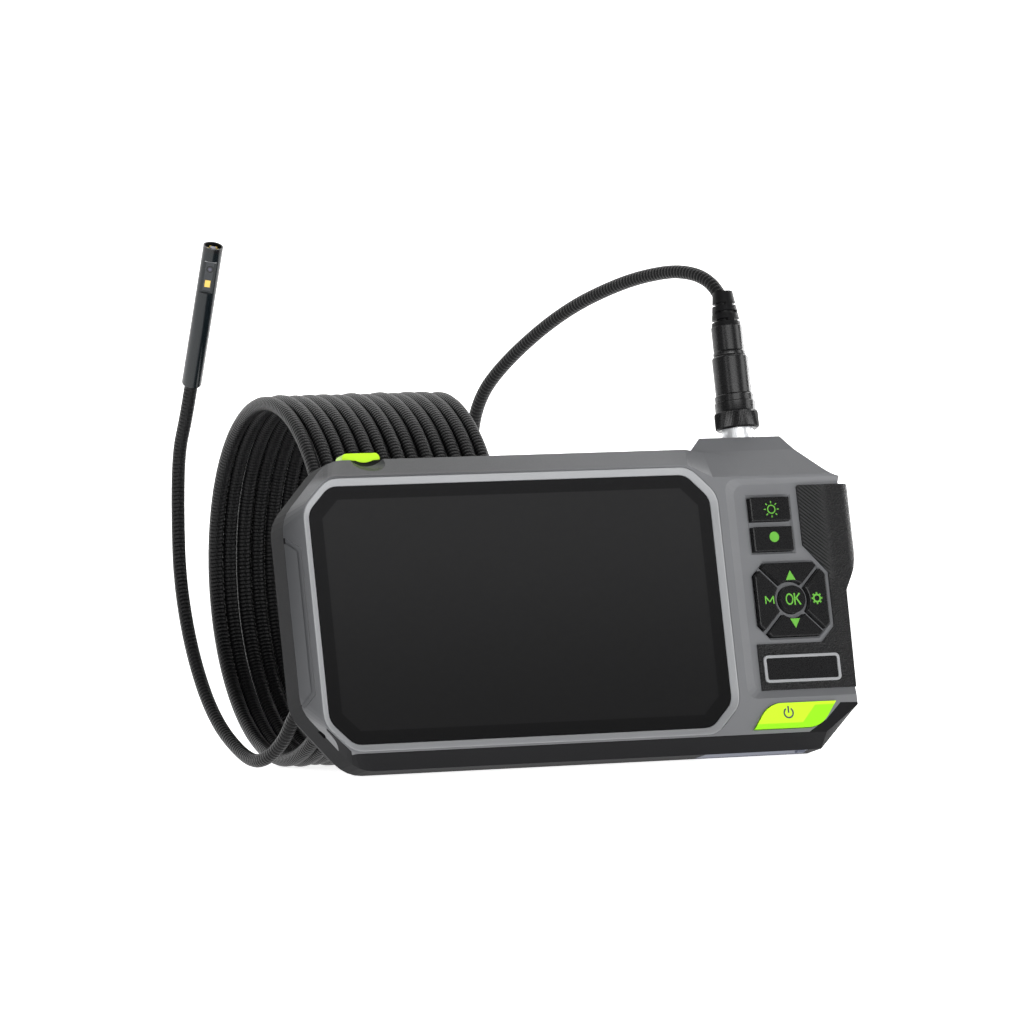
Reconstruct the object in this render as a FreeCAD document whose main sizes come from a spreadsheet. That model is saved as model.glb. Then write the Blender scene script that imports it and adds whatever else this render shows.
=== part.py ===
import FreeCAD, Part
import math
import os
import re

import Sketcher
from FreeCAD import Placement, Rotation, Vector

# Inspection camera: a 5 inch handset that leans back on its coiled, semi-rigid probe cable.
# The handset and its plug are drawn upright in the handset's own axes: the origin is the middle
# of the screen on the glass, X runs to the right, Y into the case and Z up. One placement then
# leans them back and moves them to the model's origin. The cable is drawn in the leaned frame.

doc = FreeCAD.newDocument("inspection_camera")
sheet = doc.addObject("Spreadsheet::Sheet", "Sizes")

SIZES = {
    # pose of the handset and the model's origin, at the middle of its footprint
    "lean_angle": 10.0, "origin_x": 19.1, "origin_y": 12.4, "floor_z": -42.704,
    # outline of the case at its belt, its widest section
    "case_left": -64.6, "case_right": 98.0, "case_top": 42.3, "case_bottom": -41.0,
    "case_wall": 2.4, "corner_run": 14.6, "corner_rise": 15.3,
    "foot_corner": 17.0, "tail_corner": 11.5, "tail_rise": 10.8,
    # depths along Y of the case's sections, front to back
    "front_face": -1.0, "belt_front": 5.0, "belt_back": 13.4, "rear_step": 19.0, "case_back": 25.0,
    "rear_inset": 2.8, "back_inset": 8.0,
    # ridge round the screen, where the front bevels start
    "ridge_left": -61.0, "ridge_top": 37.0, "ridge_bottom": -37.2, "ridge_corner": 7.8,
    "ridge_round": 6.0, "belt_round": 10.0,
    "shoulder_left": 52.8, "shoulder_right": 60.0, "panel_top": 33.3, "panel_right": 96.0,
    # hump over the cable socket
    "hump_left": 54.4, "belt_bend_left": 60.6, "belt_bend_right": 84.0, "hump_face_right": 95.5,
    "hump_mid_left": 57.6, "hump_mid_right": 89.3, "hump_mid_z": 41.8,
    "hump_flat_left": 62.3, "hump_flat_right": 86.7, "hump_back_left": 67.0, "hump_top": 46.0,
    "hump_mid_y": 6.8, "hump_flat_y": 9.6, "hump_back_y": 20.0, "hump_right_z": 33.6,
    # screen
    "glass_width": 117.4, "glass_height": 68.8, "glass_corner": 6.5, "glass_round": 5.0, "glass_thick": 1.1,
    "bezel_wide": 2.1, "bezel_lip": 0.3, "lcd_width": 113.0, "lcd_height": 65.2, "lcd_thick": 2.4,
    "frame_thick": 1.5,
    # console recess with the keys, and how far the keys stand out of its floor
    "console_floor": 0.2, "console_left": 66.2, "console_top": 31.2, "console_bottom": -25.3,
    "console_side": 3.0, "console_rise": 1.5, "console_drop": 2.1, "console_round": 3.0,
    "well_rim": 0.7, "key_face": -1.0, "key_gap": 0.15, "key_flange": 0.3,
    "flange_front": 2.55, "flange_back": 3.35, "key_travel": 0.6,
    # two keys above the pad
    "well_left": 70.1, "well_right": 82.3, "well_top": 27.6, "well_bottom": 12.6,
    "well_split_top": 20.9, "well_split_bottom": 19.5,
    # direction pad
    "pad_x": 79.9, "pad_z": -0.7, "pad_half_width": 10.5, "pad_half_height": 10.0,
    "pad_chamfer": 3.2, "pad_spoke": 0.475, "pad_ring": 5.0, "ok_radius": 3.9,
    # power key, lime key on the top edge, and label plate
    "power_left": 63.9, "power_right": 89.2, "power_top": -28.95, "power_bottom": -35.8,
    "power_slant": 5.1, "power_face": -1.7, "power_round": 7.5,
    "top_key_left": -44.9, "top_key_right": -34.0, "top_key_y": 8.6, "top_key_depth": 4.4,
    "top_key_rise": 2.0, "top_key_travel": 1.0, "top_key_round": 1.4,
    "label_left": 69.3, "label_right": 92.2, "label_top": -15.7, "label_bottom": -23.2,
    "label_rim": 0.8, "label_face": -0.8, "label_round": 1.3, "label_inner_round": 0.6,
    # rubber grip
    "grip_skin": 0.6, "grip_left": 85.5, "grip_right": 101.6, "grip_back": 20.0, "grip_round": 3.2,
    # groove on the left bevel, and the thumb scoop in front of the top key
    "groove_top": 22.0, "groove_low": -24.2, "groove_wide": 1.6, "groove_right": -61.75, "groove_deep": 0.45,
    "scoop_radius": 9.0, "scoop_deep": 1.4, "scoop_x": -38.6, "scoop_y": 4.2, "scoop_z": 41.6,
    # inside the case
    "board_front": 7.8, "board_thick": 1.6, "cell_front": 11.0, "cell_thick": 8.5,
    "membrane_front": 4.1, "membrane_thick": 0.8, "keyboard_front": 5.8, "keyboard_thick": 1.2,
    "sheet_left": 66.6, "sheet_right": 91.4, "sheet_top_right": 85.4, "sheet_low_right": 84.0,
    "sheet_top": 29.0,
    "sheet_bottom": -35.6, "key_column": 76.2, "switch_radius": 1.8,
    "cell_left": -45.0, "cell_low": -22.0, "cell_long": 65.0, "cell_high": 44.0,
    "shield_left": 24.0, "shield_low": -8.0, "shield_wide": 20.0, "shield_high": 22.0, "shield_thick": 2.2,
    "boss_x": 48.0, "boss_z": 27.0, "boss_radius": 3.4, "boss_end": 12.0, "insert_radius": 2.0,
    "side_boss_x": 91.3, "side_boss_top": 26.0, "side_boss_low": -20.0,
    "screw_radius": 1.25, "screw_head": 2.4, "screw_head_thick": 1.6, "insert_long": 5.0,
    "screw_seat_y": 22.0, "screw_tip": 8.5,
    # cable socket and plug, on one upright axis
    "plug_x": 77.0, "plug_y": 15.0, "socket_collar": 4.9, "socket_nut_radius": 5.2, "collar_top": 47.2,
    "socket_radius": 4.25, "socket_bore": 3.3, "socket_top": 54.6, "socket_foot": 36.5,
    "socket_floor": 44.0, "nut_low": 49.0, "knurl_top": 53.8, "nut_mid": 56.6, "nut_top": 58.6,
    "knurl_radius": 6.0, "nut_collar": 5.55, "nut_neck": 5.3, "run_gap": 0.05,
    "stem_radius": 3.2, "stem_bore": 2.7, "stem_neck": 3.6, "stem_flange_top": 56.4,
    "body_top": 69.5, "body_radius": 4.95, "sleeve_top": 77.7, "sleeve_radius": 4.25,
    "relief_top": 87.4, "relief_foot_radius": 4.05, "relief_mouth_radius": 2.75,
    "slot_first": 1.2, "slot_pitch": 2.25, "slot_high": 0.8,
    # underside door
    "door_left": 52.0, "door_right": 83.0, "door_front": 5.7, "door_back": 12.9,
    "door_thick": 1.2, "door_gap": 0.2, "door_recess": 1.4, "pin_radius": 0.35,
    "usb_left": 55.5, "usb_wide": 9.0, "usb_front": 7.4, "usb_thick": 3.2,
    "card_left": 69.0, "card_wide": 12.4,
    "card_front": 8.6, "card_thick": 2.0, "port_board": 10.6,
    # cable: its turns lie side by side, and the probe is on its end
    "cable_radius": 1.75, "coil_radius": 49.3, "coil_pitch": 4.12, "coil_turns": 12.5,
    "coil_x": -39.7, "coil_y": 82.0, "coil_yaw": -3.0, "probe_lean": 26.95, "probe_spin": -25.0,
    "probe_radius": 2.75, "probe_long": 42.0, "probe_wall": 0.35,
    "front_radius": 2.35, "front_lens_radius": 0.85,
    "window_low": 29.3, "window_high": 38.2, "window_flat": 2.12,
}

for row, (alias, number) in enumerate(SIZES.items(), start=1):
    sheet.set(f"A{row}", alias)
    sheet.set(f"B{row}", str(number))
    sheet.setAlias(f"B{row}", alias)
doc.recompute()

NODES = {}  # node name -> document object
ARC_STEPS = 4  # straight pieces in a rounded corner
AXES = {"X": Vector(1, 0, 0), "Y": Vector(0, 1, 0), "Z": Vector(0, 0, 1)}


def size(name):
    """A driving size, read from the sheet."""
    return float(sheet.get(name))


def value(text):
    """The number that an expression of sizes comes to now."""
    found = sheet.evalExpression(linked(text))
    return float(getattr(found, "Value", found))


def linked(text):
    """An expression with each size's name pointing at its cell."""
    return re.sub(r"[a-z][a-z_]+", lambda word: ("Sizes." if word[0] in SIZES else "") + word[0], text)


def bind(thing, **sizes):
    """Binds properties to expressions of sizes. x, y and z stand for the placement's base."""
    for key, text in sizes.items():
        path = f"Placement.Base.{key}" if key in ("x", "y", "z") else key
        thing.setExpression(path, linked(str(text)))
    return thing


LEAN = Placement(Vector(), Rotation(AXES["X"], -size("lean_angle")))
SHIFT = Placement(Vector(-size("origin_x"), -size("origin_y"), -size("floor_z")), Rotation())
HANDSET = SHIFT.multiply(LEAN)


def node(name, thing, place=HANDSET):
    """Makes a document object one of the sub-parts: its label is the node's name."""
    thing.Label = name
    thing.Placement = place.multiply(thing.Placement)
    NODES[name] = thing
    return thing


def outline(name, depth, points):
    """A closed outline drawn facing the front, at a depth along Y. Points are (x, z) expressions."""
    sketch = doc.addObject("Sketcher::SketchObject", name)
    sketch.Placement = Placement(Vector(), Rotation(AXES["X"], 90))
    bind(sketch, y=depth)
    draw(sketch, points)
    return sketch


def draw(sketch, points):
    """Draws a closed polygon in a sketch, each corner held from the sketch's origin."""
    count = len(points)
    guess = [Vector(10 * math.cos(2 * math.pi * k / count), 10 * math.sin(2 * math.pi * k / count), 0)
             for k in range(count)]
    for k in range(count):
        sketch.addGeometry(Part.LineSegment(guess[k], guess[(k + 1) % count]), False)
    for k in range(count):
        sketch.addConstraint(Sketcher.Constraint("Coincident", k, 2, (k + 1) % count, 1))
    for k, (across, up) in enumerate(points):
        for kind, text in (("DistanceX", across), ("DistanceY", up)):
            index = sketch.addConstraint(Sketcher.Constraint(kind, -1, 1, k, 1, 1.0))
            sketch.setExpression(f"Constraints[{index}]", linked(str(text)))


def plate(name, depth, thick, points):
    """A flat plate: an outline pushed back along Y."""
    sketch = outline(name + "_outline", depth, points)
    solid = doc.addObject("Part::Extrusion", name)
    solid.Base = sketch
    solid.DirMode = "Custom"
    solid.Dir = AXES["Y"]
    solid.Solid = True
    return bind(solid, LengthFwd=thick)


def ruled(name, sections):
    """A solid with straight sides through outlines at several depths."""
    solid = doc.addObject("Part::Loft", name)
    solid.Sections = [outline(f"{name}_{k}", depth, points) for k, (depth, points) in enumerate(sections)]
    solid.Solid = True
    solid.Ruled = True
    return solid


def block(name, x, y, z, wide, deep, high):
    """A box from its lowest corner."""
    return bind(doc.addObject("Part::Box", name), x=x, y=y, z=z, Length=wide, Width=deep, Height=high)


def rod(name, axis, x, y, z, radius, long):
    """A cylinder along an axis, from the middle of its first face."""
    solid = doc.addObject("Part::Cylinder", name)
    solid.Placement = Placement(Vector(), Rotation(AXES["Z"], AXES[axis]))
    return bind(solid, x=x, y=y, z=z, Radius=radius, Height=long)


def cut(name, base, *tools):
    """The base without the tools."""
    solid = doc.addObject("Part::Cut", name)
    solid.Base = base
    solid.Tool = tools[0] if len(tools) == 1 else fuse(name + "_tools", *tools)
    return solid


def fuse(name, *parts):
    """Several solids as one."""
    solid = doc.addObject("Part::MultiFuse", name)
    solid.Shapes = list(parts)
    return solid


def common(name, base, tool):
    """What two solids share."""
    solid = doc.addObject("Part::Common", name)
    solid.Base = base
    solid.Tool = tool
    return solid


def group(name, *parts):
    """Separate solids kept together as one node."""
    solid = doc.addObject("Part::Compound", name)
    solid.Links = list(parts)
    return solid


def turned(name, profile):
    """A body turned about Z. The profile's points are (radius, height) expressions."""
    body = doc.addObject("PartDesign::Body", name)
    plane = next(f for f in body.Origin.OriginFeatures if f.Role == "XZ_Plane")
    axis = next(f for f in body.Origin.OriginFeatures if f.Role == "Z_Axis")
    sketch = body.newObject("Sketcher::SketchObject", name + "_profile")
    sketch.AttachmentSupport = [(plane, "")]
    sketch.MapMode = "FlatFace"
    draw(sketch, profile)
    spun = body.newObject("PartDesign::Revolution", name + "_turn")
    spun.Profile = sketch
    spun.ReferenceAxis = (axis, [""])
    spun.Angle = 360
    return body


def softened(name, base, radius, chosen):
    """The base with the chosen edges rounded. chosen(edge) says whether an edge is one of them."""
    doc.recompute()
    solid = doc.addObject("Part::Fillet", name)
    solid.Base = base
    solid.Edges = [(k, size(radius), size(radius)) for k, edge in enumerate(base.Shape.Edges, start=1)
                   if chosen(edge)]
    return solid


def along(edge, axis):
    """Whether an edge is straight and runs along an axis."""
    if edge.Curve.TypeId != "Part::GeomLine":
        return False
    return abs(abs(edge.Curve.Direction.dot(AXES[axis])) - 1) < 1e-6


def rounded(name, base, radius, where=lambda middle: True):
    """The base with the corners that run through its thickness rounded."""
    def corner(edge):
        straight = edge.Curve.TypeId == "Part::GeomLine"
        return straight and abs(edge.Curve.Direction.y) > 0.2 and where(edge.CenterOfMass)
    return softened(name, base, radius, corner)


def soft(points, rounds):
    """An outline with some corners rounded. rounds gives the radius of each such corner by its number."""
    spots = [Vector(value(x), value(z), 0) for x, z in points]
    result = []
    for k, (x, z) in enumerate(points):
        if k not in rounds:
            result.append((x, z))
            continue
        back = (spots[k - 1] - spots[k]).normalize()
        ahead = (spots[(k + 1) % len(spots)] - spots[k]).normalize()
        half = back.getAngle(ahead) / 2
        middle = (back + ahead).normalize() * (rounds[k] / math.sin(half))
        start = back * (rounds[k] / math.tan(half)) - middle
        swing = (math.pi - 2 * half) * (1 if back.cross(ahead).z > 0 else -1)
        for step in range(ARC_STEPS + 1):
            spot = middle + Rotation(AXES["Z"], -math.degrees(swing) * step / ARC_STEPS).multVec(start)
            result.append((f"{x} + ({spot.x:.4f})", f"{z} + ({spot.y:.4f})"))
    return result


# ---------------------------------------------------------------- case

SOFT_CORNERS = (0, 1, 8, 9)  # the four at the case's left side


def ridge_points(grow, radius):
    """The ridge round the front of the case, moved out by grow, its left corners rounded."""
    left, right, top, low = (f"ridge_left - {grow}", f"panel_right + {grow}",
                             f"ridge_top + {grow}", f"ridge_bottom - {grow}")
    corners = [(left, "ridge_top - ridge_corner"), ("ridge_left + ridge_corner", top),
               ("shoulder_left", top), ("shoulder_right", f"panel_top + {grow}"),
               ("belt_bend_right", f"panel_top + {grow}"), (right, f"panel_top - 0.5 + {grow}"),
               (right, "case_bottom + tail_rise"), ("case_right - tail_corner - 0.8", low),
               ("ridge_left + ridge_corner", low), (left, "ridge_bottom + ridge_corner")]
    return soft(corners, {k: radius for k in SOFT_CORNERS} if radius else {})


def belt_points(inset, radius):
    """The case's widest outline, moved in by inset, its left corners rounded."""
    corners = [(f"case_left + {inset}", "case_top - corner_rise"),
               ("case_left + corner_run", f"case_top - {inset}"),
               ("hump_left + 1", f"case_top - {inset}"), ("belt_bend_left", f"case_top - 1 - {inset}"),
               ("belt_bend_right", f"case_top - 4.2 - {inset}"),
               (f"case_right - {inset}", "hump_right_z - 0.8"),
               (f"case_right - {inset}", "case_bottom + tail_rise"),
               ("case_right - tail_corner", f"case_bottom + {inset}"),
               ("case_left + corner_run", f"case_bottom + {inset}"),
               (f"case_left + {inset}", "case_bottom + foot_corner")]
    return soft(corners, {k: radius for k in SOFT_CORNERS} if radius else {})


def hump_points(inset, left, right, top, right_drop="0"):
    """A section of the hump over the socket, whose top runs from left to right."""
    low = "hump_mid_z - 22"
    return [(f"hump_left + {inset}", low), (f"{left} + {inset}", f"{top} - {inset}"),
            (f"{right} - {inset}", f"{top} - {inset}"),
            (f"case_right - {inset}", f"hump_right_z - {right_drop} - {inset}"),
            (f"case_right - {inset}", low)]


def case_solid(name, inset, front, back, ridge_round=0, belt_round=0):
    """The case's outer form, or its cavity when it is moved in by the wall."""
    main = ruled(name + "_main", [
        (front, ridge_points(f"(0 - {inset})", ridge_round)),
        (f"belt_front - {inset} * 0.3", belt_points(inset, belt_round)),
        ("belt_back", belt_points(inset, belt_round)),
        ("rear_step", belt_points(f"(rear_inset + {inset})", belt_round)),
        (back, belt_points(f"(back_inset + {inset})", belt_round))])
    hump = ruled(name + "_hump", [
        (front, hump_points(inset, "hump_mid_left", "hump_face_right", "(panel_top + 0.1)", "0.9")),
        (f"hump_mid_y + {inset} * 0.5",
         hump_points(inset, "hump_mid_left", "hump_mid_right", "hump_mid_z")),
        (f"hump_flat_y + {inset} * 0.5",
         hump_points(inset, "hump_flat_left", "hump_flat_right", "hump_top")),
        (f"hump_back_y - {inset} * 0.5",
         hump_points(inset, "hump_back_left", "hump_flat_right", "hump_top")),
        (f"case_back - 1.5 - {inset}",
         hump_points(f"(3.5 + {inset})", "hump_back_left", "hump_flat_right", "(hump_mid_z - 2)"))])
    return fuse(name, main, hump)


outer_form = case_solid("outer_form", "0", "front_face", "case_back", size("ridge_round"),
                        size("belt_round"))
cavity = case_solid("cavity", "case_wall", "front_face + 3.4", "case_back - case_wall")
hollow_case = cut("hollow_case", outer_form, cavity)

# The front shell is all of the case in front of this parting solid's back: the bevelled front,
# and the hump down to its flat top. Its lower edge follows the ridge, so the bottom bevel and
# both bottom corners belong to the rear shell.
PARTING = [("case_left - 5", "hump_top + 10"), ("case_right + 5", "hump_top + 10"),
           ("case_right + 5", "case_bottom + tail_rise + 0.4"), ("power_right + 1.6", "power_top - 0.4"),
           ("belt_bend_right + 2", "power_bottom + 2"), ("power_left + 16.6", "ridge_bottom + 0.2"),
           ("ridge_left + ridge_corner", "ridge_bottom + 0.2"),
           ("ridge_left - 0.3", "ridge_bottom + ridge_corner + 0.6"),
           ("case_left - 5", "case_bottom + foot_corner + 0.6")]


def parting(name, gap):
    """What belongs to the front shell, made larger by gap for the cut that leaves the rear shell."""
    face = plate(name + "_face", "front_face - 4", f"belt_front - front_face + 4 + {gap}", PARTING)
    hump = block(name + "_hump", "hump_left - 0.5", "front_face", f"hump_mid_z - 6.5 - {gap}",
                 "case_right - hump_left + 5", f"hump_back_y + 1 - front_face + {gap}", "20")
    return fuse(name, face, hump)


front_part = common("front_part", hollow_case, parting("front_parting", "0"))
rear_part = cut("rear_part", hollow_case, parting("rear_parting", "0.12"))

# ---------------------------------------------------------------- screen

def cut_rectangle(half_width, half_height, corner, radius=0):
    """A rectangle round the screen's middle with its corners cut off, and rounded if there is a radius."""
    w, h, c = f"({half_width})", f"({half_height})", f"({corner})"
    corners = [(f"0 - {w}", f"{h} - {c}"), (f"0 - {w} + {c}", h), (f"{w} - {c}", h), (w, f"{h} - {c}"),
               (w, f"0 - {h} + {c}"), (f"{w} - {c}", f"0 - {h}"), (f"0 - {w} + {c}", f"0 - {h}"),
               (f"0 - {w}", f"0 - {h} + {c}")]
    return soft(corners, {k: radius for k in range(8)} if radius else {})


def screen_ring(grow):
    """The glass's outline moved out by grow."""
    return cut_rectangle(f"glass_width / 2 + {grow}", f"glass_height / 2 + {grow}",
                         f"glass_corner + {grow} * 0.586", size("glass_round") + value(grow))


LCD = cut_rectangle("lcd_width / 2", "lcd_height / 2", "1")

bezel_block = plate("bezel_block", "front_face", "glass_thick - front_face", screen_ring("bezel_wide"))
bezel_slope = ruled("bezel_slope", [("front_face - 0.01", screen_ring("(bezel_wide - bezel_lip)")),
                                    ("0.1", screen_ring("0.08")), ("case_wall + 1", screen_ring("0.08"))])
node("screen_bezel", cut("bezel", bezel_block, bezel_slope))
node("screen_glass", plate("glass", "0", "glass_thick", screen_ring("0")))
node("lcd_panel", plate("lcd", "glass_thick + 0.05", "lcd_thick", LCD))
LCD_BACK = "(glass_thick + 0.05 + lcd_thick)"
FRAME_FRONT = f"({LCD_BACK} + 0.05)"
FRAME_BACK = f"({LCD_BACK} + 0.05 + frame_thick)"
BOSSES = [(across, up) for across in ("(0 - boss_x)", "boss_x") for up in ("boss_z", "(0 - boss_z)")]
SIDE_BOSSES = [("side_boss_x", "side_boss_top"), ("side_boss_x", "side_boss_low")]


def rods(name, places, depth, radius, long):
    """The same rod along Y at each (x, z) place."""
    return [rod(f"{name}_{k}", "Y", x, depth, z, radius, long) for k, (x, z) in enumerate(places)]


frame_plate = plate("frame_plate", FRAME_FRONT, "frame_thick", cut_rectangle("58.2", "34", "5"))
frame_bosses = rods("frame_boss", BOSSES, FRAME_BACK, "boss_radius", f"boss_end - {FRAME_BACK}")
frame_bores = rods("frame_bore", BOSSES, "boss_end - insert_long", "insert_radius", "insert_long + 1")
ribbon_slot = block("ribbon_slot", "0 - 11", FRAME_FRONT, "0 - 31", "22", "frame_thick", "4")
node("display_frame", cut("display_frame_body", fuse("frame_whole", frame_plate, *frame_bosses),
                          ribbon_slot, *frame_bores))
node("display_ribbon", fuse(
    "ribbon_body",
    block("ribbon_across", "0 - 9", f"{LCD_BACK} + 0.02", "0 - 29.2", "18",
          f"board_front - 0.04 - {LCD_BACK}", "0.25"),
    block("ribbon_up", "0 - 9", "board_front - 0.27", "0 - 29.2", "18", "0.25", "8")))

# ---------------------------------------------------------------- keys


def rectangle(left, right, low, top):
    """Corners of a rectangle, moved out by grow."""
    def grown(grow):
        return [(f"{left} - {grow}", f"{top} + {grow}"), (f"{right} + {grow}", f"{top} + {grow}"),
                (f"{right} + {grow}", f"{low} - {grow}"), (f"{left} - {grow}", f"{low} - {grow}")]
    return grown


def pad_key(side, sign):
    """A key of the direction pad: the part of its octagon between two spokes."""
    def grown(grow):
        reach = "pad_half_height" if side == "upright" else "pad_half_width"
        apex = f"((pad_spoke + key_gap - {grow}) * 1.41421)"
        corner_sum = f"(pad_half_width + pad_half_height - pad_chamfer + {grow} * 1.41421)"
        edge = f"({reach} + {grow})"
        half = [(f"({corner_sum} - {apex}) / 2", f"({corner_sum} + {apex}) / 2"),
                (f"{corner_sum} - {edge}", edge)]
        points = [("0", apex)] + half + [(f"0 - ({a})", b) for a, b in reversed(half)]
        if side == "upright":
            return [(f"pad_x + {a}", f"pad_z + {sign} * ({b})") for a, b in points]
        return [(f"pad_x + {sign} * ({b})", f"pad_z + {a}") for a, b in points]
    return grown


def power_outline(grow):
    """The power key's slanting outline."""
    return [(f"power_left + power_slant - {grow}", f"power_top + {grow}"),
            (f"power_right + {grow} * 1.6", f"power_top + {grow}"),
            (f"power_right - power_slant + {grow}", f"power_bottom - {grow}"),
            (f"power_left - {grow} * 1.6", f"power_bottom - {grow}")]


KEYS = {
    "light_key": rectangle("well_left + key_gap", "well_right - key_gap", "well_split_top + key_gap",
                           "well_top - key_gap"),
    "record_key": rectangle("well_left + key_gap", "well_right - key_gap", "well_bottom + key_gap",
                            "well_split_bottom - key_gap"),
    "up_key": pad_key("upright", "1"), "down_key": pad_key("upright", "(0 - 1)"),
    "menu_key": pad_key("level", "(0 - 1)"), "settings_key": pad_key("level", "1"),
}
HOLE_FRONT = "front_face - 2"
HOLE_LONG = "case_wall - front_face + 3"


def key_stage(name, shape, depth, thick, grow):
    """One thickness of a key, or the hole that it slides in."""
    solid = plate(name, depth, thick, shape(grow))
    if shape in (KEYS["light_key"], KEYS["record_key"]):
        return solid
    middle = rod(name + "_middle", "Y", "pad_x", f"{depth} - 1", "pad_z", f"pad_ring + key_gap - {grow}",
                 f"{thick} + 2")
    return cut(name + "_round", solid, middle)


key_holes = []
for name, shape in KEYS.items():
    stem = key_stage(name + "_stem", shape, "key_face", "flange_front - key_face", "0")
    flange = key_stage(name + "_flange", shape, "flange_front", "flange_back - flange_front", "key_flange")
    node(name, fuse(name + "_body", stem, flange))
    key_holes.append(key_stage(name + "_hole", shape, HOLE_FRONT, HOLE_LONG, "key_gap"))

ok_stem = rod("ok_stem", "Y", "pad_x", "key_face - 0.2", "pad_z", "ok_radius - key_gap",
              "flange_front - key_face + 0.2")
ok_flange = rod("ok_flange", "Y", "pad_x", "flange_front", "pad_z", "ok_radius + key_flange",
                "flange_back - flange_front")
node("ok_key", fuse("ok_body", ok_stem, ok_flange))
key_holes.append(rod("ok_hole", "Y", "pad_x", HOLE_FRONT, "pad_z", "ok_radius", HOLE_LONG))


def at_power_round(middle):
    """Whether a corner of the power key is one of the two blunt ones, which are rounded."""
    top_left = (size("power_left") + size("power_slant"), size("power_top"))
    low_right = (size("power_right") - size("power_slant"), size("power_bottom"))
    return min(math.dist((middle.x, middle.z), corner) for corner in (top_left, low_right)) < 1


power_stem = rounded("power_stem_round", plate("power_stem", "power_face", "flange_front - power_face",
                                               power_outline("0")), "power_round", at_power_round)
power_flange = plate("power_flange", "flange_front", "flange_back - flange_front",
                     power_outline("key_flange"))
node("power_key", fuse("power_body", power_stem, power_flange))
power_hole = rounded("power_hole_round", plate("power_hole", HOLE_FRONT, HOLE_LONG,
                                               power_outline("key_gap")),
                     "power_round", at_power_round)
power_pocket = plate("power_pocket", "flange_front - 0.1", "flange_back + key_travel + 0.3 - flange_front",
                     power_outline("(key_flange + 0.15)"))

top_key_block = block("top_key_block", "top_key_left", "top_key_y - top_key_depth / 2",
                      "case_top - case_wall - 0.8",
                      "top_key_right - top_key_left", "top_key_depth", "case_wall + 0.8 + top_key_rise")
top_key_foot = block("top_key_foot", "top_key_left - 0.8", "top_key_y - top_key_depth / 2 - 0.6",
                     "case_top - case_wall - 0.9",
                     "top_key_right - top_key_left + 1.6", "top_key_depth + 1.2", "0.8")
doc.recompute()
top_key_round = softened("top_key_rounded", top_key_block, "top_key_round",
                         lambda edge: edge.CenterOfMass.z > size("case_top") + 0.5
                         and edge.BoundBox.XLength < 1)
node("top_key", fuse("top_key_body", top_key_round, top_key_foot))
top_key_hole = block("top_key_hole", "top_key_left - key_gap", "top_key_y - top_key_depth / 2 - key_gap",
                     "case_top - case_wall - 1",
                     "top_key_right - top_key_left + key_gap * 2",
                     "top_key_depth + key_gap * 2", "case_wall + 4")


def key_sheet(name, depth, thick, grow):
    """A sheet behind all the keys, in three overlapping stretches."""
    stretches = [("sheet_right", "pad_z - 11.9", "pad_z + 12.3"),
                 ("sheet_top_right", "pad_z + 11.7", "sheet_top"),
                 ("sheet_low_right", "sheet_bottom", "pad_z - 11.3")]
    return fuse(name, *[plate(f"{name}_{k}", depth, thick, rectangle("sheet_left", right, low, high)(grow))
                        for k, (right, low, high) in enumerate(stretches)])


node("key_membrane", key_sheet("membrane", "membrane_front", "membrane_thick", "0"))
node("key_board", key_sheet("key_circuit", "keyboard_front", "keyboard_thick", "0.3"))
SWITCHES = [("key_column", "(well_top + well_split_top) / 2"),
            ("key_column", "(well_split_bottom + well_bottom) / 2"),
            ("pad_x", "pad_z"), ("pad_x", "pad_z + 7.6"), ("pad_x", "pad_z - 7.6"),
            ("pad_x - 7.8", "pad_z"), ("pad_x + 7.8", "pad_z"), ("key_column", "power_bottom + 3.4")]
switch_front = "membrane_front + membrane_thick + 0.05"
node("key_switches", group("switch_group", *rods("key_switch", SWITCHES, switch_front, "switch_radius",
                                                 f"keyboard_front - 0.01 - ({switch_front})")))

# ---------------------------------------------------------------- shells


def console_points(grow):
    """The recess for the keys, open to the right, with its sides moved out by grow times their slope."""
    left, top = f"console_left - {grow} * console_side", f"console_top + {grow} * console_rise"
    low = f"console_bottom - {grow} * console_drop"
    corners = [(left, top), ("case_right + 8", top), ("case_right + 8", low), (left, low)]
    return soft(corners, {0: size("console_round"), 3: size("console_round")})


console = ruled("console", [("front_face - 0.01", console_points("1")),
                            ("console_floor", console_points("0"))])
WELL = rectangle("well_left", "well_right", "well_bottom", "well_top")


def pad_outline(grow):
    """The octagon that the direction keys lie in."""
    w, h = f"(pad_half_width + {grow})", f"(pad_half_height + {grow})"
    c = f"(pad_chamfer + {grow} * 0.586)"
    corners = [(f"0 - {w}", f"{h} - {c}"), (f"0 - {w} + {c}", h), (f"{w} - {c}", h), (w, f"{h} - {c}")]
    corners += [(x, f"0 - ({z})") for x, z in reversed(corners)]
    return [(f"pad_x + {x}", f"pad_z + {z}") for x, z in corners]


key_wells = [ruled(f"key_well_{k}", [("console_floor - 0.01", shape("well_rim + 0.1")),
                                     ("console_floor + 0.6", shape("0.1"))])
             for k, shape in enumerate((WELL, pad_outline))]

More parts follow.
